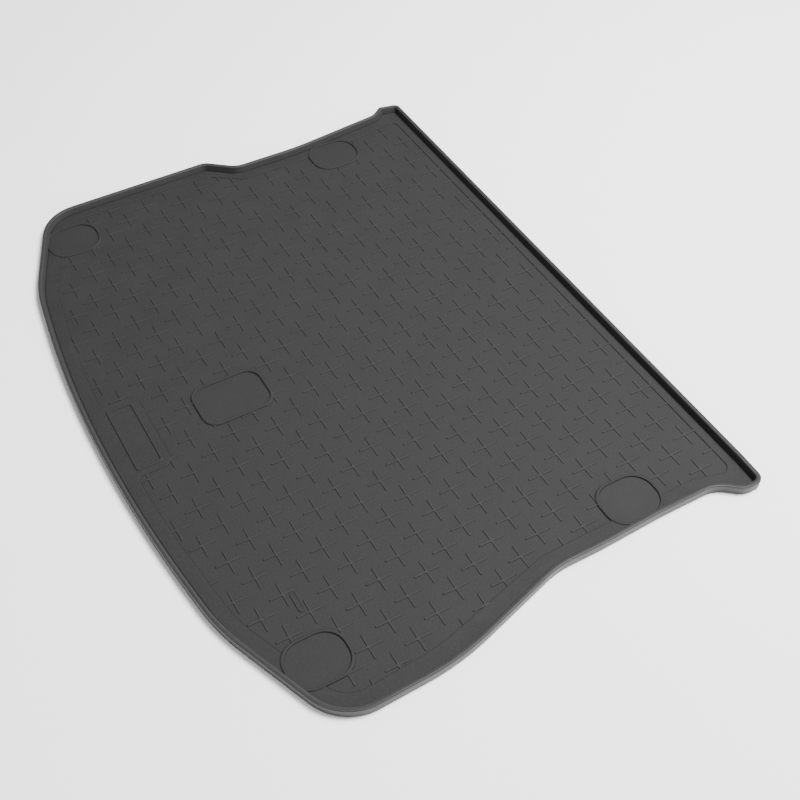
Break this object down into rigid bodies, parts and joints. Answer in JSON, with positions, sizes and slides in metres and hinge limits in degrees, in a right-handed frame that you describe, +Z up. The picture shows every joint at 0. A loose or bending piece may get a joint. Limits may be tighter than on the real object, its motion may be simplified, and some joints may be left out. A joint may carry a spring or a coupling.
{
  "type": "car boot liner",
  "caption": "Shaped rubber boot tray with a raised lip all round, seat-back ears, wheel-arch steps, a sunk field of cross ribs, ridge-ringed pads and a bare badge frame.",
  "frame": {"origin": "under the middle of the liner, on its flat underside", "axes": "+X across the car to the right, +Y towards the seat backs (the straight edge), -Y towards the tailgate (the bowed edge), +Z up"},
  "size_m": [1.0702, 0.7852, 0.014],
  "materials": {
    "rubber": "fine matt grain"
  },
  "bodies": {
    "root": {"boot_liner": "rubber"}
  },
  "joints": []
}
